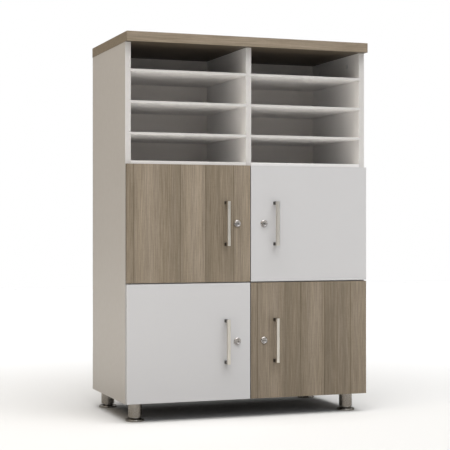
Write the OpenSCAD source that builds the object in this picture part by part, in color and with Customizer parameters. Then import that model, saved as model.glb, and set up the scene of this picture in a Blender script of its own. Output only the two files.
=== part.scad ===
// Mailroom cabinet: two columns of open pigeonholes above four lockable lockers, on levelling feet.
// Millimetres, +Z up. The origin is on the floor, at the middle of the overall width and depth.
// The front faces -Y. Right-hand doors and their hardware are the left-hand ones mirrored.

/* [Carcass] */
// Width over the two side panels
carcass_w = 800; // [760:10:900]
// Depth of the side panels
carcass_d = 400; // [380:10:460]
// Height of the side panels
carcass_h = 1098; // [1080:2:1160]
// Thickness of the side, bottom, deck and divider boards
board_t = 18; // [18:1:19]
// Thickness of the back panel
back_t = 8; // [6:1:10]
// Distance from the back panel's front face to the rear edge
back_inset = 30; // [26:1:40]

/* [Top] */
// Thickness of the top
top_t = 30; // [25:1:38]
// How far the top passes the side panels' front edge
top_front = 25; // [22:1:30]
// How far the top passes each side panel
top_side = 1; // [0:1:4]

/* [Pigeonholes] */
// Height of the deck's upper face above the carcass's lower edge
deck_h = 739; // [720:1:750]
// Thickness of a mail shelf
shelf_t = 8; // [6:1:10]
// Distance between the middles of neighbouring mail shelves
shelf_pitch = 96; // [90:1:98]
// Height of the lowest mail shelf's middle above the deck
first_shelf = 82.5; // [76:0.5:90]

/* [Doors] */
// Thickness of a door
door_t = 16; // [16:1:18]
// Air gap between a door's back and the carcass's front edge
door_gap = 2; // [2:0.5:3]
// How far a door stays inside the outer face of the side panel
door_reveal = 1; // [0.5:0.5:2]
// Gap between a left-hand and a right-hand door
meeting_gap = 3; // [2:0.5:4]
// Gap between a lower and an upper door
level_gap = 3.5; // [2:0.5:5]
// Height of the lower doors' lower edge above the carcass's lower edge
door_rise = 1.5; // [0:0.5:4]
// Height of the deck's front edge that the doors leave open
deck_edge = 10.5; // [8:0.5:12]

/* [Handles] */
// Distance between the two posts of a handle
handle_centres = 128; // [96:32:160]
// Width and depth of the handle's bar
handle_bar = 10; // [8:1:12]
// How far a handle stands off its door
handle_reach = 30; // [26:1:36]
// Distance from a handle's middle to the door's free edge
handle_inset = 80; // [70:1:100]

/* [Locks] */
// Distance from a lock's axis to the door's free edge
lock_inset = 43; // [40:1:46]
// Diameter of the lock's face
lock_face_d = 22; // [20:1:24]

/* [Feet] */
// Height of the carcass above the floor
foot_h = 58; // [56:1:66]
// Diameter of a foot's column
foot_column_d = 42; // [38:1:46]
// Diameter of a foot's base
foot_base_d = 58; // [54:1:62]
// Distance from a foot's axis to the side panel's outer face
foot_inset_x = 44; // [40:1:60]
// Distance from a front foot's axis to the carcass's front edge
foot_inset_front = 47; // [40:1:60]
// Distance from a rear foot's axis to the carcass's rear edge
foot_inset_rear = 29; // [29:1:60]

/* [Hidden] */
$fn = 48;
DOORS = ["upper_left", "upper_right", "lower_left", "lower_right"];
COLUMNS = ["left", "right"];
SHELVES = [1, 2, 3];
FEET = ["front_left", "front_right", "rear_left", "rear_right"];
BODY_PIECES = [
  "left_side_panel", "right_side_panel", "centre_divider", "bottom_panel", "top_panel", "back_panel",
  "cam_fittings", "connector_bolts", "dowels", "hinge_arms", "hinge_plates", "door_bumpers",
  "foot_columns", "foot_bolts"
];
DOOR_PIECES = [
  "door", "handle", "handle_screws", "lock_body", "lock_plug", "lock_cam", "hinge_cups", "hinge_links"
];

WHITE = [0.83, 0.82, 0.81];
OAK = [0.57, 0.52, 0.45];
NICKEL = [0.70, 0.69, 0.66];
STEEL = [0.62, 0.61, 0.59];
ZINC = [0.72, 0.72, 0.70];
BEECH = [0.78, 0.66, 0.48];
RUBBER = [0.75, 0.75, 0.73];

// Main planes
half_w = carcass_w / 2;
inner_x = half_w - board_t;
divider_x = board_t / 2;
front_y = -(carcass_d - door_gap - door_t - handle_reach) / 2;
rear_y = front_y + carcass_d;
back_y = rear_y - back_inset;
bottom_z = foot_h;
floor_z = bottom_z + board_t;
deck_z = bottom_z + deck_h;
roof_z = bottom_z + carcass_h;

// Grooves: the back panel and the mail shelves sit in the boards around them
back_groove = 6;
shelf_groove = 5;
groove_play = 0.1;

// Doors, measured from the carcass's lower edge
door_w = half_w - door_reveal - meeting_gap / 2;
door_h = (deck_h - deck_edge - door_rise - level_gap) / 2;
upper_rise = door_rise + door_h + level_gap;
mid_z = bottom_z + upper_rise - level_gap / 2;
door_back = -door_gap;
door_face = -door_gap - door_t;
free_edge = door_reveal + door_w;

// Mail shelves' middle heights, 1 is the highest
function shelf_z(n) = deck_z + first_shelf + (len(SHELVES) - n) * shelf_pitch;

// Cam fittings: a drum in one board pulls on a bolt that is screwed into the other board
drum_r = 7.5;
drum_depth = 12.5;
drum_inset = 34;
bolt_r = 3.5;
bolt_hold = 8;
dowel_r = 4;
dowel_half = 15;
dowel_hold = 8.5;
bore_play = 0.05;
// Hairline between a screw head and what it clamps, which keeps them separate solids
seat = 0.05;
fitting_y = [front_y + 90, front_y + 310];
dowel_y = [front_y + 185];

// Board ends that carry fittings: [x, z, rotation that turns +X into the board and -Z to the drum's face]
shelf_ends = [
  for (z = [bottom_z + board_t / 2]) each [[-inner_x, z, [0, 0, 0]], [inner_x, z, [0, 0, 180]]],
  for (z = [mid_z, deck_z - board_t / 2], s = [-1, 1])
    each [[s * inner_x, z, [0, 0, s < 0 ? 0 : 180]], [s * divider_x, z, [0, 0, s < 0 ? 180 : 0]]]
];
upright_ends = [
  [-(half_w - board_t / 2), roof_z, [0, 90, 180]],
  [half_w - board_t / 2, roof_z, [0, 90, 0]],
  [0, roof_z, [0, 90, 180]],
  [0, floor_z, [0, -90, 0]]
];
board_ends = concat(shelf_ends, upright_ends);

// Concealed hinge, in the left door's frame: x from the side's outer face, y from the carcass's front edge
hinge_inset = 80;
hinge_heights = [hinge_inset, door_h - hinge_inset];
cup_r = 17.5;
cup_wall = 1;
cup_depth = 11.5;
cup_x = door_reveal + 3 + cup_r;
cup_plate_t = 1.2;
cup_screw_x = cup_x + 6;
cup_screw_z = 24;
cup_pivot = [door_reveal + 9.5, door_back - 3];
cup_pin_half = 12;
arm_pivot = [board_t + 14, 3];
link_bend = [board_t + 2, door_back - 4.9];
link_half = 5.2;
arm_half = 7;
pin_r = 1.6;
plate_y = 37;
plate_screw_z = 16;
arm_top = board_t + 18;
arm_screw_y = [30, 50];

// Locks, in the left door's frame
lock_x = free_edge - lock_inset;
lock_barrel_r = 9;
lock_plug_r = 6;
lock_end = 4.7;
// How far the lock's rim and its plug stand out of the door
lock_proud = 5;
plug_proud = 4.2;
cam_y = 5;
cam_t = 2;
cam_w = 14;
cam_reach = lock_inset + meeting_gap / 2 - 1.5;
shank = 8;

// Mortise in the divider that the lock cams turn into
mortise_y = [3.5, 8.5];
mortise_z = [-26.5, 8.5];

// Levelling feet
base_rim = 5.5;
base_edge = 1.5;
base_h = 9.5;
collar_r = 16;
column_z = 12.5;
stud_r = 5;
stud_top = foot_h - 12;
foot_bolt_r = 4;
foot_bolt_hold = 10.5;

// ---- Helpers ----

module box(lo, hi) {
  translate(lo) cube(hi - lo);
}

module rod_x(r, x0, x1) {
  translate([x0, 0, 0]) rotate([0, 90, 0]) cylinder(r = r, h = x1 - x0);
}

module rod_y(r, y0, y1) {
  translate([0, y0, 0]) rotate([-90, 0, 0]) cylinder(r = r, h = y1 - y0);
}

module rod_z(r, z0, z1) {
  translate([0, 0, z0]) cylinder(r = r, h = z1 - z0);
}

// A square with round corners, exact arcs
module soft_square(s, r) {
  square([s - 2 * r, s], center = true);
  square([s, s - 2 * r], center = true);
  for (x = [-1, 1], y = [-1, 1]) translate([x, y] * (s / 2 - r)) circle(r);
}

// A flat bar from p to q, with square ends, in the plane
module bar(p, q, w) {
  d = q - p;
  translate(p) rotate(atan2(d[1], d[0])) translate([0, -w / 2]) square([norm(d), w]);
}

// Bores for the fittings of one board end
module end_bores(e) {
  for (y = fitting_y) translate([e[0], y, e[1]]) rotate(e[2]) {
    rod_x(bolt_r + bore_play, -bolt_hold, drum_inset);
    translate([drum_inset, 0, 0]) rod_z(drum_r + bore_play, -board_t / 2 - 1, drum_depth - board_t / 2);
  }
  for (y = dowel_y) translate([e[0], y, e[1]]) rotate(e[2])
    rod_x(dowel_r + bore_play, -dowel_hold, 2 * dowel_half - dowel_hold);
}

function reaches(e, lo, hi) =
  e[0] > lo[0] - 1 && e[0] < hi[0] + 1 && e[1] > lo[2] - 1 && e[1] < hi[2] + 1;

// A board with the bores of every fitting that meets it; children are cut away too
module board(lo, hi) {
  difference() {
    box(lo, hi);
    for (e = board_ends) if (reaches(e, lo, hi)) end_bores(e);
    children();
  }
}

// Places the left door's frame, mirrored for a right-hand door
module at_door(name) {
  upper = name == "upper_left" || name == "upper_right";
  right = name == "upper_right" || name == "lower_right";
  z = bottom_z + (upper ? upper_rise : door_rise);
  if (right)
    mirror([1, 0, 0]) translate([-half_w, front_y, z]) children();
  else
    translate([-half_w, front_y, z]) children();
}

module at_column(name) {
  if (name == "right")
    mirror([1, 0, 0]) children();
  else
    children();
}

module at_hinges() {
  for (z = hinge_heights) translate([0, 0, z]) children();
}

module at_lock() {
  translate([lock_x, 0, door_h / 2]) children();
}

module at_posts() {
  for (s = [-1, 1])
    translate([free_edge - handle_inset, 0, door_h / 2 + s * handle_centres / 2]) children();
}

module at_feet() {
  for (x = [-1, 1], y = [front_y + foot_inset_front, rear_y - foot_inset_rear])
    translate([x * (half_w - foot_inset_x), y, 0]) children();
}

// ---- Carcass ----

module back_slot(x0, x1, z0, z1) {
  box([x0, back_y, z0], [x1, back_y + back_t + groove_play, z1]);
}

module left_side() {
  board([-half_w, front_y, bottom_z], [-inner_x, rear_y, roof_z]) {
    for (n = SHELVES)
      box(
        [-inner_x - shelf_groove - groove_play, front_y - 1, shelf_z(n) - shelf_t / 2 - groove_play],
        [-inner_x + 1, back_y, shelf_z(n) + shelf_t / 2 + groove_play]
      );
    back_slot(-inner_x - back_groove - groove_play, -inner_x + 1, floor_z - back_groove, roof_z + 1);
    for (d = ["upper_left", "lower_left"]) at_door(d) at_hinges() for (s = [-1, 1])
      translate([0, plate_y, s * plate_screw_z]) rod_x(2.5 + bore_play, board_t - 12, board_t + 1);
  }
}

module left_side_panel() {
  color(WHITE) left_side();
}

module right_side_panel() {
  color(WHITE) mirror([1, 0, 0]) left_side();
}

module centre_divider() {
  color(WHITE) board([-divider_x, front_y, floor_z], [divider_x, back_y, roof_z]) {
    for (n = SHELVES, s = [-1, 1])
      translate([s * divider_x, 0, shelf_z(n)])
        box(
          [-shelf_groove - groove_play, front_y - 1, -shelf_t / 2 - groove_play],
          [shelf_groove + groove_play, back_y + 1, shelf_t / 2 + groove_play]
        );
    for (rise = [door_rise, upper_rise])
      translate([0, front_y, bottom_z + rise + door_h / 2])
        box([-divider_x - 1, mortise_y[0], mortise_z[0]], [divider_x + 1, mortise_y[1], mortise_z[1]]);
  }
}

module bottom_panel() {
  color(WHITE) board([-inner_x, front_y, bottom_z], [inner_x, rear_y, floor_z]) {
    back_slot(-inner_x - 1, inner_x + 1, floor_z - back_groove, floor_z + 1);
    at_feet() rod_z(foot_bolt_r + bore_play, bottom_z - 1, bottom_z + foot_bolt_hold + 0.5);
  }
}

module top_panel() {
  color(OAK)
    board(
      [-half_w - top_side, front_y - top_front, roof_z],
      [half_w + top_side, rear_y, roof_z + top_t]
    )
      back_slot(
        -inner_x - back_groove - groove_play, inner_x + back_groove + groove_play,
        roof_z - 1, roof_z + back_groove + groove_play
      );
}

module back_panel() {
  color(WHITE)
    box(
      [-inner_x - back_groove, back_y, floor_z - back_groove],
      [inner_x + back_groove, back_y + back_t, roof_z + back_groove]
    );
}

module deck(column) {
  color(WHITE) at_column(column)
    board([-inner_x, front_y, deck_z - board_t], [-divider_x, back_y, deck_z]);
}

module mid_shelf(column) {
  color(WHITE) at_column(column)
    board([-inner_x, front_y, mid_z - board_t / 2], [-divider_x, back_y, mid_z + board_t / 2]);
}

module mail_shelf(column, n) {
  color(WHITE) at_column(column)
    box(
      [-inner_x - shelf_groove, front_y, shelf_z(n) - shelf_t / 2],
      [-divider_x + shelf_groove, back_y, shelf_z(n) + shelf_t / 2]
    );
}

// ---- Carcass hardware ----

module cam_fittings() {
  color(WHITE) for (e = board_ends, y = fitting_y)
    translate([e[0], y, e[1]]) rotate(e[2]) translate([drum_inset, 0, -board_t / 2]) difference() {
      rod_z(drum_r, 0, drum_depth - 0.2);
      box([-3, -0.75, -1], [3, 0.75, 1.5]);
    }
}

module connector_bolts() {
  color(ZINC) for (e = board_ends, y = fitting_y)
    translate([e[0], y, e[1]]) rotate(e[2]) {
      rod_x(bolt_r, -bolt_hold + 0.2, drum_inset - drum_r - 3);
      rod_x(bolt_r - 1.5, drum_inset - drum_r - 3, drum_inset - drum_r - 0.3);
    }
}

module dowels() {
  color(BEECH) for (e = board_ends, y = dowel_y)
    translate([e[0], y, e[1]]) rotate(e[2])
      rod_x(dowel_r, -dowel_hold + 0.5, 2 * dowel_half - dowel_hold - 0.5);
}

module door_bumpers() {
  color(RUBBER) for (d = DOORS) at_door(d) for (z = [25, door_h - 25])
    translate([free_edge - 3.5, 0, z]) rod_y(4, door_back + 0.3, 0);
}

// ---- Hinges ----

// Side profile of one cheek of the hinge arm
module arm_outline() {
  translate(arm_pivot) circle(4);
  translate([arm_top - 8, 3]) square([8, 6]);
  translate([arm_top - 10, 6]) square([10, 56]);
}

module hinge_arm() {
  difference() {
    union() {
      for (s = [-1, 1]) translate([0, 0, s * (arm_half - 0.75) - 0.75]) linear_extrude(1.5) arm_outline();
      box([arm_top - 1.5, 6, -arm_half], [arm_top, 62, arm_half]);
    }
    translate(arm_pivot) rod_z(pin_r + bore_play, -arm_half - 1, arm_half + 1);
    for (y = arm_screw_y) translate([0, y, 0]) rod_x(2 + bore_play, arm_top - 3, arm_top + 1);
  }
}

module hinge_arms() {
  color(NICKEL) for (d = DOORS) at_door(d) at_hinges() {
    hinge_arm();
    translate(arm_pivot) rod_z(pin_r, -arm_half - 0.6, arm_half + 0.6);
  }
}

// A pan-head screw along X: thread from x0, underside of the head at x1
module screw_x(r, head_r, x0, x1) {
  difference() {
    union() {
      rod_x(r, x0, x1 + 1);
      rod_x(head_r, x1 + seat, x1 + 2);
    }
    translate([x1 + 0.8, 0, 0]) rotate([0, 90, 0]) cylinder(r = r * 0.7, h = 2, $fn = 6);
  }
}

module hinge_plate() {
  difference() {
    union() {
      box([board_t, 30, -26], [board_t + 2, 44, 26]);
      box([board_t, 22, -link_half], [board_t + 12, 60, link_half]);
    }
    for (s = [-1, 1]) translate([0, plate_y, s * plate_screw_z])
      rod_x(2.5 + bore_play, board_t - 1, board_t + 3);
    for (y = arm_screw_y) translate([0, y, 0]) rod_x(2 + bore_play, board_t + 1, board_t + 13);
  }
}

module hinge_plates() {
  color(ZINC) for (d = DOORS) at_door(d) at_hinges() {
    hinge_plate();
    for (s = [-1, 1]) translate([0, plate_y, s * plate_screw_z])
      screw_x(2.5, 4.2, board_t - 11, board_t + 2);
    for (y = arm_screw_y) translate([0, y, 0]) screw_x(2, 4, board_t + 2, arm_top);
  }
}

module hinge_cup() {
  difference() {
    union() {
      translate([cup_x, 0, 0]) rod_y(cup_r, door_back - cup_depth, door_back);
      box([cup_x - 12, door_back, -31], [cup_x + 13, door_back + cup_plate_t, 31]);
    }
    translate([cup_x, 0, 0]) rod_y(cup_r - cup_wall, door_back - cup_depth + cup_wall, 1);
    translate(cup_pivot) rod_z(pin_r + bore_play, -cup_r, cup_r);
    for (s = [-1, 1]) translate([cup_screw_x, 0, s * cup_screw_z]) rod_y(1.75 + bore_play, -4, 1);
  }
}

module cup_screw() {
  difference() {
    union() {
      rod_y(1.75, door_back - 9, door_back + cup_plate_t + 1);
      rod_y(3.6, door_back + cup_plate_t + seat, door_back + cup_plate_t + 1.4);
    }
    translate([0, door_back + cup_plate_t + 0.6, 0]) rotate([-90, 0, 0]) cylinder(r = 1.2, h = 2, $fn = 6);
  }
}

module hinge_cups(name) {
  color(NICKEL) at_door(name) at_hinges() {
    hinge_cup();
    translate(cup_pivot) rod_z(pin_r, -cup_pin_half, cup_pin_half);
    for (s = [-1, 1]) translate([cup_screw_x, 0, s * cup_screw_z]) cup_screw();
  }
}

module link_outline() {
  difference() {
    union() {
      translate(cup_pivot) circle(3);
      translate(link_bend) circle(2);
      translate(arm_pivot) circle(3.4);
      bar(cup_pivot, link_bend, 4);
      bar(link_bend, arm_pivot, 4);
    }
    translate(cup_pivot) circle(pin_r + bore_play);
    translate(arm_pivot) circle(pin_r + bore_play);
  }
}

module hinge_links(name) {
  color(NICKEL) at_door(name) at_hinges()
    translate([0, 0, -link_half]) linear_extrude(2 * link_half) link_outline();
}

// ---- Doors ----

function oak_door(name) = name == "upper_left" || name == "lower_right";

module door(name) {
  color(oak_door(name) ? OAK : WHITE) at_door(name) difference() {
    box([door_reveal, door_face, 0], [free_edge, door_back, door_h]);
    at_hinges() {
      translate([cup_x, 0, 0]) rod_y(cup_r + bore_play, door_back - cup_depth - 0.5, door_back + 1);
      for (s = [-1, 1]) translate([cup_screw_x, 0, s * cup_screw_z])
        rod_y(1.75 + bore_play, door_back - 11, door_back + 1);
    }
    at_lock() rod_y(lock_barrel_r + bore_play, door_face - 1, door_back + 1);
    at_posts() rod_y(2 + bore_play, door_face - 1, door_back + 1);
  }
}

module handle(name) {
  bar_mid = door_face - handle_reach + handle_bar / 2;
  length = handle_centres + handle_bar;
  color(NICKEL) at_door(name) difference() {
    union() {
      translate([free_edge - handle_inset, bar_mid, (door_h - length) / 2])
        linear_extrude(length) soft_square(handle_bar, 2);
      at_posts() translate([0, door_face, 0]) rotate([90, 0, 0])
        linear_extrude(handle_reach - handle_bar / 2) soft_square(handle_bar, 1.5);
    }
    at_posts() rod_y(2 + bore_play, door_face - 13, door_face + 1);
  }
}

module handle_screws(name) {
  color(ZINC) at_door(name) at_posts() difference() {
    union() {
      rod_y(2, door_face - 12, door_back);
      rod_y(4, door_back, door_back + 2.4);
    }
    translate([0, door_back + 1, 0]) rotate([-90, 0, 0]) cylinder(r = 1.5, h = 2, $fn = 6);
  }
}

// ---- Locks ----

// Half section of the lock's face: a bevelled rim that dips towards the plug
module lock_rim_outline() {
  r = lock_face_d / 2;
  bore_r = lock_plug_r + bore_play;
  top = lock_proud;
  polygon([[bore_r, 0], [r, 0], [r, top - 1.4], [r - 1.4, top], [r - 2.4, top], [bore_r, top - 1]]);
}

module lock_body(name) {
  color(NICKEL) at_door(name) at_lock() {
    difference() {
      union() {
        translate([0, door_face, 0]) rotate([90, 0, 0]) rotate_extrude($fn = 96) lock_rim_outline();
        rod_y(lock_barrel_r, door_face, lock_end);
      }
      rod_y(lock_plug_r + bore_play, door_face - lock_proud - 1, lock_end + 1);
    }
    difference() {
      translate([0, door_back, 0]) rotate([-90, 0, 0]) cylinder(r = 12.7, h = 4, $fn = 6);
      rod_y(lock_barrel_r + bore_play, door_back - 1, door_back + 5);
    }
  }
}

module lock_plug(name) {
  color(STEEL) at_door(name) at_lock() {
    difference() {
      union() {
        rod_y(lock_plug_r, door_face - plug_proud, lock_end - 0.2);
        box([-shank / 2, lock_end - 0.2, -shank / 2], [shank / 2, cam_y + cam_t, shank / 2]);
      }
      box([-4, door_face - plug_proud - 1, -0.9], [4, door_face + 9, 0.9]);
      rod_y(2 + bore_play, -6, cam_y + cam_t + 1);
    }
    rod_y(2, -5.5, cam_y + cam_t + 1);
    rod_y(5.2, cam_y + cam_t + seat, cam_y + cam_t + 2);
  }
}

module lock_cam(name) {
  color(ZINC) at_door(name) at_lock()
    translate([0, cam_y + cam_t, 0]) rotate([90, 0, 0]) linear_extrude(cam_t) difference() {
      union() {
        circle(cam_w / 2 + 2);
        translate([0, -cam_reach + cam_w / 2]) circle(cam_w / 2);
        translate([-cam_w / 2, -cam_reach + cam_w / 2]) square([cam_w, cam_reach - cam_w / 2]);
      }
      square(shank + 2 * bore_play, center = true);
    }
}

// ---- Feet ----

module foot_columns() {
  color(STEEL) at_feet() difference() {
    rod_z(foot_column_d / 2, column_z, bottom_z);
    rod_z(stud_r + bore_play, column_z - 1, stud_top + 2);
    rod_z(foot_bolt_r + bore_play, stud_top + 4, bottom_z + 1);
  }
}

module foot_bolts() {
  color(ZINC) at_feet() rod_z(foot_bolt_r, stud_top + 4.2, bottom_z + foot_bolt_hold);
}

// Half section of a foot's base: a round-edged rim under a shallow cone
module base_outline() {
  r = foot_base_d / 2;
  square([r - base_edge, base_rim]);
  translate([r - base_edge, 0]) square([base_edge, base_rim - base_edge]);
  translate([r - base_edge, base_rim - base_edge]) circle(base_edge);
  polygon([[0, base_rim], [r - base_edge, base_rim], [collar_r + 3, base_h], [0, base_h]]);
}

module levelling_foot(name) {
  left = name == "front_left" || name == "rear_left";
  front = name == "front_left" || name == "front_right";
  x = (left ? -1 : 1) * (half_w - foot_inset_x);
  y = front ? front_y + foot_inset_front : rear_y - foot_inset_rear;
  color(STEEL) translate([x, y, 0]) {
    rotate_extrude($fn = 96) base_outline();
    rod_z(collar_r, base_rim, column_z - 0.3);
    rod_z(stud_r, base_rim, stud_top);
  }
}

// ---- Assembly ----

left_side_panel();
right_side_panel();
centre_divider();
bottom_panel();
top_panel();
back_panel();
cam_fittings();
connector_bolts();
dowels();
hinge_arms();
hinge_plates();
door_bumpers();
foot_columns();
foot_bolts();
for (c = COLUMNS) {
  deck(c);
  mid_shelf(c);
  for (n = SHELVES)
    mail_shelf(c, n);
}
for (f = FEET)
  levelling_foot(f);
for (d = DOORS) {
  door(d);
  handle(d);
  handle_screws(d);
  lock_body(d);
  lock_plug(d);
  lock_cam(d);
  hinge_cups(d);
  hinge_links(d);
}
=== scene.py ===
"""Looks of the mailroom cabinet: camera, light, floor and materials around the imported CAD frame.

Metres and the frame's own axes throughout: +X to the right, +Y to the back, +Z up, floor at z = 0.
"""

import math

import bpy
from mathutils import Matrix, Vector


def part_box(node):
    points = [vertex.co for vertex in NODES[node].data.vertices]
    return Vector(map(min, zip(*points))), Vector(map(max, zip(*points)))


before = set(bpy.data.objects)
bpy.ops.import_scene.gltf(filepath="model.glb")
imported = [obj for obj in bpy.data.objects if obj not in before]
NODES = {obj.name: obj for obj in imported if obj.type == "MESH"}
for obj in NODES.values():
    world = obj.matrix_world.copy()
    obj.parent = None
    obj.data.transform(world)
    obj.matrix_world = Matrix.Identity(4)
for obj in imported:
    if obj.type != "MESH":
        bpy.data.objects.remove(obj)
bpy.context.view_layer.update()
MM = 0.001

DOORS = ["upper_left", "upper_right", "lower_left", "lower_right"]
# The oak doors and how light each one's board is, and the same for the top
OAK_DOORS = {"upper_left": 1.0, "lower_right": 0.93}
OAK_TOP = 1.09
FEET = ["front_left", "front_right", "rear_left", "rear_right"]
COLUMNS = ["left", "right"]

# Colours, scene linear
# The carcass's front edging; its outer sides, darker and warmer as painted shade and painted warm
# light; its inner faces, whiter as painted light
CARCASS_WHITE = (0.605, 0.588, 0.572)
SIDE_PAINTED_SHADE = (0.564, 0.526, 0.484)
INNER_PAINTED_LIGHT = (0.92, 0.90, 0.88)
# Painted light: the back panel whiter and warmer than the carcass, for brighter back walls in the
# pigeonholes
BACK_PAINTED_LIGHT = (0.93, 0.88, 0.83)
# Painted light: the decks' front edges lighter than the other edging
DECK_PAINTED_LIGHT = (0.80, 0.785, 0.77)
DOOR_WHITE = (0.578, 0.573, 0.578)
OAK = (0.241, 0.194, 0.138)
SATIN_NICKEL = (0.70, 0.665, 0.60)
# The handle posts behind the bar, near black
POST_DARK = (0.07, 0.065, 0.058)
CHROME = (0.48, 0.455, 0.44)
TURNED_STEEL = (0.42, 0.40, 0.38)
FOOT_STEEL = (0.36, 0.335, 0.305)
FOOT_BASE_STEEL = (0.50, 0.475, 0.44)
ZINC = (0.62, 0.62, 0.60)
BEECH = (0.60, 0.43, 0.25)
COVER_WHITE = (0.78, 0.78, 0.77)
BUMPER = (0.66, 0.66, 0.64)
# Painted shade: dark sheets on the under-faces of the top, for a dark top row of pigeonholes, and of
# the bottom board, for a dark gap under the cabinet
TOP_PAINTED_SHADE = (0.10, 0.077, 0.052)
BASE_PAINTED_SHADE = (0.05, 0.04, 0.03)

# Floor: what the camera sees and what the floor throws back, near the cabinet and far from it, and
# the distances from the cabinet's middle between which the one fades into the other
FLOOR = (0.78, 0.772, 0.758)
FLOOR_FAR = (0.92, 0.92, 0.92)
FLOOR_FADE = (0.9, 2.4)
FLOOR_BOUNCE = (0.41, 0.39, 0.355)
FLOOR_FAR_BOUNCE = (0.86, 0.84, 0.80)
BOUNCE_FADE = (0.5, 1.1)
FLOOR_HALF = 8.0
# Below z = 0 by this much, so that the feet don't share its plane
FLOOR_DROP = 0.0002

# How deep from the surface a colour reaches: a board's outer face, the painted shade on its under-face,
# a handle's bar
SKIN = 0.4 * MM
UNDERSIDE_DEPTH = 0.2 * MM
BAR = 10.2 * MM
# Edge rounding of the carcass boards and of the mail shelves, millimetres
BOARD_EDGE = 0.6
SHELF_EDGE = 0.4

# Camera, fitted to the cabinet's corners: level, at about its middle height, turned towards it from
# its left
CAMERA_AT = (-1.450, -3.959, 0.601)
CAMERA_TURN = 19.93
CAMERA_LENS = 103.5

# Light: an overhead key, a glow low in front, a dimmer one behind and a warm soft light on the left
BACKDROP = (1.0, 1.0, 1.0)
AMBIENT = (0.10, 0.098, 0.095)
BACK_GLOW = (0.45, 0.45, 0.45)
FRONT_GLOW = (0.86, 0.89, 0.95)
# Where the glows lie, by a direction's y (to the back) and z (upwards): from none to full light
FRONT_RISES = (0.1, 0.45)
FRONT_FALLS = (0.62, 0.82)
FRONT_AHEAD = (-0.85, -0.45)
BACK_RISES = (0.3, 0.5)
BACK_BEHIND = (0.3, 0.7)
# Share of the front glow that is left at the horizon
HORIZON = 0.3
KEY_STRENGTH = 3.4
KEY_COLOUR = (1.0, 1.0, 1.0)
KEY_TILT = 19
KEY_SOFTNESS = 60
SIDE_AT = (-2.3, -0.9, 2.1)
SIDE_AIM = (-0.4, 0.0, 0.95)
SIDE_SIZE = 1.2
SIDE_POWER = 9.0
SIDE_COLOUR = (1.0, 0.84, 0.62)


# ---- Shader building ----


class Shading:
    """A material's node tree, with short ways to add and join its nodes."""

    def __init__(self, name, colour, roughness, metallic=0.0):
        self.material = bpy.data.materials.new(name)
        self.material.use_nodes = True
        self.tree = self.material.node_tree
        self.shader = self.tree.nodes["Principled BSDF"]
        self.set(self.shader, Roughness=roughness, Metallic=metallic)
        self.set(self.shader, **{"Base Color": (*colour, 1.0)})

    @classmethod
    def of_tree(cls, tree):
        """The same short ways for a node tree that isn't a material's, emptied first."""
        shading = cls.__new__(cls)
        shading.tree = tree
        tree.nodes.clear()
        return shading

    def set(self, node, **values):
        for name, value in values.items():
            self.put(node.inputs[name], value)

    def put(self, socket, value):
        if isinstance(value, bpy.types.NodeSocket):
            self.tree.links.new(value, socket)
        else:
            socket.default_value = value

    def add(self, kind, **settings):
        node = self.tree.nodes.new(kind)
        for name, value in settings.items():
            setattr(node, name, value)
        return node

    def place(self):
        """The point's place in the frame, which stays with its piece as it moves."""
        return self.add("ShaderNodeTexCoord").outputs["Object"]

    def split(self, vector):
        node = self.add("ShaderNodeSeparateXYZ")
        self.put(node.inputs[0], vector)
        return node.outputs

    def join(self, x, y, z):
        node = self.add("ShaderNodeCombineXYZ")
        for socket, value in zip(node.inputs, (x, y, z)):
            self.put(socket, value)
        return node.outputs[0]

    def scale(self, vector, by):
        node = self.add("ShaderNodeVectorMath", operation="MULTIPLY")
        self.put(node.inputs[0], vector)
        self.put(node.inputs[1], by)
        return node.outputs[0]

    def maths(self, operation, a, b=0.0, c=0.0):
        node = self.add("ShaderNodeMath", operation=operation)
        for socket, value in zip(node.inputs, (a, b, c)):
            self.put(socket, value)
        return node.outputs[0]

    def ranged(self, value, low, high, to_low, to_high, smooth=False):
        node = self.add("ShaderNodeMapRange")
        node.interpolation_type = "SMOOTHSTEP" if smooth else "LINEAR"
        for socket, given in zip(node.inputs, (value, low, high, to_low, to_high)):
            self.put(socket, given)
        return node.outputs[0]

    def noise(self, vector, size, detail=2.0, rough=0.5):
        """Noise from 0 to 1 with features of about size metres, or (x, y, z) metres."""
        sizes = size if isinstance(size, tuple) else (size,) * 3
        node = self.add("ShaderNodeTexNoise")
        self.put(node.inputs["Vector"], self.scale(vector, tuple(1 / s for s in sizes)))
        self.set(node, Scale=1.0, Detail=detail, Roughness=rough)
        return node.outputs["Fac"]

    def ramp(self, value, stops, constant=False):
        """A grey ramp through (position, grey) stops."""
        node = self.add("ShaderNodeValToRGB")
        node.color_ramp.interpolation = "CONSTANT" if constant else "LINEAR"
        elements = node.color_ramp.elements
        elements.remove(elements[1])
        elements[0].position = stops[0][0]
        elements[0].color = (*[stops[0][1]] * 3, 1.0)
        for position, grey in stops[1:]:
            elements.new(position).color = (grey, grey, grey, 1.0)
        self.put(node.inputs[0], value)
        return node.outputs["Color"]

    def mix(self, factor, a, b, mode="MIX"):
        """Colour b over colour a by factor; a grey value can stand for a colour."""
        node = self.add("ShaderNodeMix", data_type="RGBA", blend_type=mode)
        self.put(node.inputs["Factor"], factor)
        for socket, value in ((node.inputs[6], a), (node.inputs[7], b)):
            self.put(socket, (*value, 1.0) if isinstance(value, tuple) else value)
        return node.outputs[2]

    def between(self, value, low, high, soft):
        """1 where value lies between low and high, with soft edges."""
        rise = self.ranged(value, low - soft, low + soft, 0.0, 1.0)
        fall = self.ranged(value, high - soft, high + soft, 1.0, 0.0)
        return self.maths("MULTIPLY", rise, fall)

    def bump(self, height, distance, strength=1.0):
        node = self.add("ShaderNodeBump")
        self.set(node, Strength=strength, Distance=distance, Height=height)
        self.put(self.shader.inputs["Normal"], node.outputs[0])


# ---- Materials ----


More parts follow.
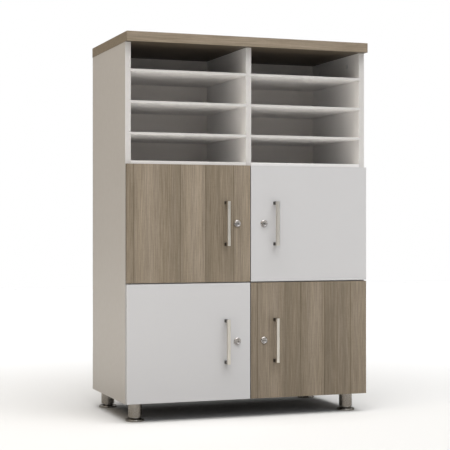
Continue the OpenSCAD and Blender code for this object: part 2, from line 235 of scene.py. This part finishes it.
def paint_shade_under(s, face, shade_colour, below):
    """The face's colour, but painted shade on the under-face, which is at height below: a dark sheet of
    the shade colour.
    """
    z = s.split(s.place())[2]
    under = s.maths("LESS_THAN", z, below + UNDERSIDE_DEPTH)
    s.set(s.shader, **{"Base Color": s.mix(under, face, shade_colour)})


def white_laminate(name, colour, edging_to=None, shade_under_at=None):
    """Satin melamine: a fine pearl texture and the faintest cloudiness. A carcass board has edging
    up to edging_to from the front, inner faces whiter as painted light and outer sides darker and
    warmer as painted shade."""
    s = Shading(name, colour, 0.42)
    place = s.place()
    face = colour
    if edging_to is not None:
        x, y, _ = s.split(place)
        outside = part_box("right_side_panel")[1].x - SKIN
        # Painted light: the inner faces whiter than the edging
        face = s.mix(s.maths("GREATER_THAN", y, edging_to), colour, INNER_PAINTED_LIGHT)
        # Painted shade: the outer sides darker and warmer than the edging
        face = s.mix(s.maths("GREATER_THAN", s.maths("ABSOLUTE", x), outside), face, SIDE_PAINTED_SHADE)
    cloud = s.ranged(s.noise(place, 0.35, detail=3.0), 0.0, 1.0, 0.985, 1.012)
    face = s.mix(1.0, face, cloud, mode="MULTIPLY")
    s.set(s.shader, **{"Base Color": face})
    if shade_under_at is not None:
        # Painted shade: a dark sheet on the under-face
        paint_shade_under(s, face, BASE_PAINTED_SHADE, shade_under_at)
    s.set(s.shader, Roughness=s.ranged(s.noise(place, 0.02, detail=4.0), 0.3, 0.7, 0.38, 0.47))
    s.bump(s.noise(place, 0.0009, detail=3.0), 0.00005, 0.35)
    return s.material


# Where an oak door shows joints between printed planks, as shares of its width from its left edge,
# and how light they are
PLANK_JOINTS = [0.053, 0.424, 0.632, 0.862]
FAINT_JOINTS = [0.61, 0.745]
PLANK_JOINT_TONE = 0.56
FAINT_JOINT_TONE = 0.80
# Half the width of a joint's line and of its soft edge, as shares of the door's width
JOINT_HALF = 0.003
JOINT_SOFT = 0.002
# How far along its grain a plank is shifted against the first, metres for the door's whole width
PLANK_SHIFT = 7.0
# How light the planks are: (share of the door's width, lightness)
PLANK_TONES = [
    (0.0, 0.95), (0.05, 0.95), (0.056, 1.0), (0.17, 1.20), (0.24, 1.06), (0.29, 0.88), (0.42, 0.88),
    (0.43, 0.90), (0.52, 1.14), (0.58, 1.18), (0.628, 1.02), (0.636, 0.80), (0.74, 0.88), (0.75, 0.94),
    (0.85, 0.92), (0.868, 1.04), (0.95, 1.14), (1.0, 1.06),
]


def oak_tone(s, across, depth, run):
    """How light the grain is, and its broad figure, fine lines and pores by themselves."""
    grain = s.join(across, depth, run)
    # Broad figure, streaks, fine lines, a faint cross ripple and pores: each is a noise, the part of
    # its range that counts, and how light the two ends of that part are
    layers = [
        (s.noise(grain, (0.022, 0.022, 0.50), detail=2.0), 0.32, 0.68, 0.96, 1.04),
        (s.noise(grain, (0.0060, 0.0060, 0.30), detail=3.0, rough=0.6), 0.33, 0.67, 0.91, 1.09),
        (s.noise(grain, (0.0022, 0.0022, 0.09), detail=2.0, rough=0.6), 0.38, 0.62, 0.84, 1.16),
        (s.noise(grain, (0.016, 0.016, 0.0035), detail=2.0), 0.35, 0.65, 0.98, 1.02),
        (s.noise(grain, (0.0005, 0.0005, 0.012), detail=2.0), 0.36, 0.46, 0.86, 1.0),
    ]
    tone = 1.0
    for layer in layers:
        tone = s.maths("MULTIPLY", tone, s.ranged(*layer))
    return tone, layers[0][0], layers[2][0], layers[4][0]


def oak_laminate(name, shade, along, start, width, planks=False, shade_under_at=None):
    """Greige oak print: grain along X or Z, on doors in planks, with pores and a little relief. Across
    the grain, the board begins at start."""
    oak = tuple(c * shade for c in OAK)
    s = Shading(name, oak, 0.48)
    x, y, z = s.split(s.place())
    across, run = (x, z) if along == "Z" else (z, x)
    share = s.maths("DIVIDE", s.maths("SUBTRACT", across, start), width)
    if planks:
        shift = s.ramp(share, [(0.0, 0.0)] + [(joint, joint) for joint in PLANK_JOINTS], constant=True)
        run = s.maths("ADD", run, s.maths("MULTIPLY", shift, PLANK_SHIFT))
    tone, broad, fine, pores = oak_tone(s, across, y, run)
    if planks:
        plank = s.ramp(share, [(place, light / 2) for place, light in PLANK_TONES])
        tone = s.maths("MULTIPLY", tone, s.maths("MULTIPLY", plank, 2.0))
        for joints, light in ((PLANK_JOINTS, PLANK_JOINT_TONE), (FAINT_JOINTS, FAINT_JOINT_TONE)):
            for joint in joints:
                line = s.between(share, joint - JOINT_HALF, joint + JOINT_HALF, JOINT_SOFT)
                tone = s.maths("MULTIPLY", tone, s.ranged(line, 0.0, 1.0, 1.0, light))
    cool = tuple(c * k for c, k in zip(oak, (1.0, 1.0, 1.02)))
    warm = tuple(c * k for c, k in zip(oak, (1.0, 0.99, 0.97)))
    face = s.mix(s.ranged(broad, 0.35, 0.65, 0.0, 1.0), cool, warm)
    darker_is_warmer = s.join(tone, s.maths("POWER", tone, 1.06), s.maths("POWER", tone, 1.25))
    face = s.mix(1.0, face, darker_is_warmer, mode="MULTIPLY")
    s.set(s.shader, **{"Base Color": face})
    if shade_under_at is not None:
        # Painted shade: a dark sheet on the under-face
        paint_shade_under(s, face, TOP_PAINTED_SHADE, shade_under_at)
    s.set(s.shader, Roughness=s.ranged(fine, 0.2, 0.8, 0.44, 0.56))
    relief = s.maths("ADD", s.maths("MULTIPLY", s.ranged(pores, 0.36, 0.46, 0.0, 1.0), 0.6), fine)
    s.bump(relief, 0.00006, 0.5)
    return s.material


# How far a metal's roughness strays to either side
WEAR = 0.06


def metal_shading(name, colour, roughness, brushed=False):
    """Metal with an even satin grain, or brushed upright, and slightly uneven gloss."""
    s = Shading(name, colour, roughness, metallic=1.0)
    place = s.place()
    grain = s.noise(place, (0.0003, 0.0003, 0.02) if brushed else 0.0012, detail=2.0)
    cloud = s.noise(place, 0.015, detail=3.0)
    uneven = s.maths("ADD", grain, cloud)
    s.set(s.shader, Roughness=s.ranged(uneven, 0.7, 1.3, roughness - WEAR, roughness + WEAR))
    dull = tuple(c * 0.93 for c in colour)
    s.set(s.shader, **{"Base Color": s.mix(cloud, dull, colour)})
    s.bump(grain, 0.00001, 0.04)
    return s


def plain_metal(name, colour, roughness):
    return metal_shading(name, colour, roughness).material


def handle_metal():
    """Brushed satin nickel on the bar; its posts, behind the bar, are darker."""
    bar_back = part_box("handle_upper_left")[0].y + BAR
    s = metal_shading("handle_nickel", SATIN_NICKEL, 0.34, brushed=True)
    behind = s.maths("GREATER_THAN", s.split(s.place())[1], bar_back)
    # The posts behind the bar near black
    s.set(s.shader, **{"Base Color": s.mix(behind, SATIN_NICKEL, POST_DARK)})
    return s.material


def plain_plastic(name, colour, roughness):
    s = Shading(name, colour, roughness)
    place = s.place()
    cloud = s.noise(place, 0.01)
    s.set(s.shader, **{"Base Color": s.mix(cloud, tuple(c * 0.95 for c in colour), colour)})
    s.bump(s.noise(place, 0.0006, detail=2.0), 0.00002, 0.4)
    return s.material


def beech():
    s = Shading("beech", BEECH, 0.6)
    grain = s.noise(s.place(), (0.006, 0.0008, 0.0008), detail=3.0)
    s.set(s.shader, **{"Base Color": s.mix(grain, tuple(c * 0.8 for c in BEECH), BEECH)})
    s.bump(grain, 0.00003, 0.5)
    return s.material


# ---- The carried-over CAD nodes ----


# Points closer than this are one point (metres), faces flatter than this are one face (degrees), and
# an edge sharper than this is rounded (degrees)
SAME_POINT = 0.00001
SAME_FACE = 0.3
SHARP_EDGE = 35


def soften(names, width_mm, segments=2):
    """Rounds the sharp edges of CAD nodes a little, as edging, dies and tumbling do."""
    for name in names:
        piece = NODES[name]
        weld = piece.modifiers.new("Weld", "WELD")
        weld.merge_threshold = SAME_POINT
        flat = piece.modifiers.new("Flat", "DECIMATE")
        flat.decimate_type = "DISSOLVE"
        flat.angle_limit = math.radians(SAME_FACE)
        bevel = piece.modifiers.new("Bevel", "BEVEL")
        bevel.width = width_mm * MM
        bevel.segments = segments
        bevel.limit_method = "ANGLE"
        bevel.angle_limit = math.radians(SHARP_EDGE)
        bevel.harden_normals = True
        normals = piece.modifiers.new("Normals", "WEIGHTED_NORMAL")
        normals.keep_sharp = True


def paint(names, material):
    for name in names:
        for slot in NODES[name].material_slots:
            slot.material = material


def each(prefix, names):
    return [f"{prefix}_{name}" for name in names]


SHELVES = [f"mail_shelf_{column}_{n}" for column in COLUMNS for n in (1, 2, 3)]
DECKS = each("deck", COLUMNS) + each("mid_shelf", COLUMNS)
UPRIGHTS = ["left_side_panel", "right_side_panel", "centre_divider"]


def dress_boards():
    edging_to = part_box("left_side_panel")[0].y + BOARD_EDGE * MM
    paint(UPRIGHTS, white_laminate("white_laminate", CARCASS_WHITE, edging_to))
    # Painted light: the back panel whiter and warmer than the carcass
    paint(["back_panel"], white_laminate("white_back_painted_light", BACK_PAINTED_LIGHT))
    # Painted light: the decks' front edges lighter than the other edging
    paint(DECKS, white_laminate("white_deck_painted_light", DECK_PAINTED_LIGHT, edging_to))
    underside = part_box("bottom_panel")[0].z
    # Painted shade: a dark sheet on the bottom board's under-face, for a dark gap under the cabinet
    base = white_laminate("white_base", CARCASS_WHITE, edging_to, shade_under_at=underside)
    paint(["bottom_panel"], base)
    edging_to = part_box("mail_shelf_left_1")[0].y + SHELF_EDGE * MM
    paint(SHELVES, white_laminate("white_shelf", CARCASS_WHITE, edging_to))
    soften([*UPRIGHTS, *DECKS, "bottom_panel", "back_panel"], BOARD_EDGE)
    soften(SHELVES, SHELF_EDGE)
    low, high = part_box("top_panel")
    # Painted shade: a dark sheet on the top's under-face, the ceiling of the top row
    paint(["top_panel"], oak_laminate("oak_top", OAK_TOP, "X", low.z, high.z - low.z, shade_under_at=low.z))
    soften(["top_panel"], 1.2, segments=3)


def dress_doors():
    white = white_laminate("white_door", DOOR_WHITE)
    for door in DOORS:
        node = f"door_{door}"
        if door in OAK_DOORS:
            low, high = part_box(node)
            board = (f"oak_{door}", OAK_DOORS[door], "Z", low.x, high.x - low.x)
            paint([node], oak_laminate(*board, planks=True))
        else:
            paint([node], white)
        soften([node], 0.8, segments=3)


def dress_hardware():
    paint(each("handle", DOORS), handle_metal())
    soften(each("handle", DOORS), 1.2, segments=3)
    paint(each("lock_body", DOORS), plain_metal("lock_chrome", CHROME, 0.28))
    soften(each("lock_body", DOORS), 0.15)
    paint(each("lock_plug", DOORS), plain_metal("lock_steel", TURNED_STEEL, 0.30))
    soften(each("lock_plug", DOORS), 0.12)
    zinc = plain_metal("zinc_plate", ZINC, 0.36)
    plated = each("lock_cam", DOORS) + each("handle_screws", DOORS)
    plated += ["hinge_plates", "connector_bolts", "foot_bolts"]
    paint(plated, zinc)
    soften(plated, 0.15)
    hinge_steel = plain_metal("hinge_nickel", SATIN_NICKEL, 0.26)
    pressed = each("hinge_cups", DOORS) + each("hinge_links", DOORS) + ["hinge_arms"]
    paint(pressed, hinge_steel)
    soften(pressed, 0.25)
    paint(["cam_fittings"], plain_plastic("cover_white", COVER_WHITE, 0.4))
    paint(["dowels"], beech())
    paint(["door_bumpers"], plain_plastic("bumper", BUMPER, 0.5))
    soften(["cam_fittings", "dowels", "door_bumpers"], 0.3)


def dress_feet():
    bases = each("levelling_foot", FEET)
    paint(["foot_columns"], plain_metal("foot_steel", FOOT_STEEL, 0.27))
    paint(bases, plain_metal("foot_base_steel", FOOT_BASE_STEEL, 0.27))
    soften(["foot_columns", *bases], 0.5, segments=3)


# ---- Stage ----


def make_floor():
    """A pale floor, clear from below. Near the cabinet it throws back less light than it shows, for a
    dark gap under the cabinet; farther out it throws back more, for bright pigeonholes."""
    mesh = bpy.data.meshes.new("floor")
    corners = [(-1, -1), (1, -1), (1, 1), (-1, 1)]
    points = [(x * FLOOR_HALF, y * FLOOR_HALF, -FLOOR_DROP) for x, y in corners]
    mesh.from_pydata(points, [], [(0, 1, 2, 3)])
    floor = bpy.data.objects.new("floor", mesh)
    bpy.context.scene.collection.objects.link(floor)
    s = Shading("floor", FLOOR, 0.8)
    seen = s.add("ShaderNodeLightPath").outputs["Is Camera Ray"]
    x, y, _ = s.split(s.place())
    out = s.maths("SQRT", s.maths("ADD", s.maths("MULTIPLY", x, x), s.maths("MULTIPLY", y, y)))
    shown = s.mix(s.ranged(out, *FLOOR_FADE, 0.0, 1.0, smooth=True), FLOOR, FLOOR_FAR)
    bounce = s.mix(s.ranged(out, *BOUNCE_FADE, 0.0, 1.0, smooth=True), FLOOR_BOUNCE, FLOOR_FAR_BOUNCE)
    s.set(s.shader, **{"Base Color": s.mix(seen, bounce, shown)})
    from_below = s.add("ShaderNodeMixShader")
    s.put(from_below.inputs[0], s.add("ShaderNodeNewGeometry").outputs["Backfacing"])
    s.put(from_below.inputs[1], s.shader.outputs[0])
    s.put(from_below.inputs[2], s.add("ShaderNodeBsdfTransparent").outputs[0])
    s.put(s.tree.nodes["Material Output"].inputs["Surface"], from_below.outputs[0])
    mesh.materials.append(s.material)


def make_world():
    """White behind all for the camera; as light, a soft glow in front and a dimmer one behind."""
    world = bpy.data.worlds.new("studio")
    bpy.context.scene.world = world
    world.use_nodes = True
    s = Shading.of_tree(world.node_tree)
    _, y, z = s.split(s.add("ShaderNodeTexCoord").outputs["Generated"])
    low = s.ranged(z, *FRONT_RISES, HORIZON, 1.0)
    high = s.ranged(z, *FRONT_FALLS, 1.0, 0.0, smooth=True)
    ahead = s.ranged(y, *FRONT_AHEAD, 1.0, 0.0, smooth=True)
    front = s.maths("MULTIPLY", s.maths("MULTIPLY", low, high), ahead)
    behind = s.ranged(y, *BACK_BEHIND, 0.0, 1.0, smooth=True)
    back = s.maths("MULTIPLY", behind, s.ranged(z, *BACK_RISES, 0.0, 1.0, smooth=True))
    light = s.mix(back, AMBIENT, BACK_GLOW)
    light = s.mix(front, light, FRONT_GLOW)
    seen = s.add("ShaderNodeLightPath").outputs["Is Camera Ray"]
    background = s.add("ShaderNodeBackground")
    s.set(background, Color=s.mix(seen, light, BACKDROP))
    s.put(s.add("ShaderNodeOutputWorld").inputs["Surface"], background.outputs[0])


def make_key():
    light = bpy.data.lights.new("key", "SUN")
    light.energy = KEY_STRENGTH
    light.color = KEY_COLOUR
    light.angle = math.radians(KEY_SOFTNESS)
    key = bpy.data.objects.new("key", light)
    key.rotation_euler = (math.radians(KEY_TILT), 0, 0)
    bpy.context.scene.collection.objects.link(key)


def make_side_light():
    """A warm soft light above and to the left, brightest on the top of the side."""
    light = bpy.data.lights.new("side", "AREA")
    light.energy = SIDE_POWER
    light.color = SIDE_COLOUR
    light.size = SIDE_SIZE
    side = bpy.data.objects.new("side", light)
    side.location = SIDE_AT
    side.rotation_euler = (Vector(SIDE_AIM) - Vector(SIDE_AT)).to_track_quat("-Z", "Y").to_euler()
    bpy.context.scene.collection.objects.link(side)


def make_camera():
    data = bpy.data.cameras.new("camera")
    data.lens = CAMERA_LENS
    data.sensor_width = 36.0
    data.clip_end = 200.0
    camera = bpy.data.objects.new("camera", data)
    camera.location = CAMERA_AT
    camera.rotation_euler = (math.radians(90), 0, math.radians(-CAMERA_TURN))
    bpy.context.scene.collection.objects.link(camera)
    bpy.context.scene.camera = camera


make_camera()
make_world()
make_key()
make_side_light()
make_floor()
dress_boards()
dress_doors()
dress_hardware()
dress_feet()
bpy.context.scene.view_settings.view_transform = "Standard"

bpy.context.view_layer.update()
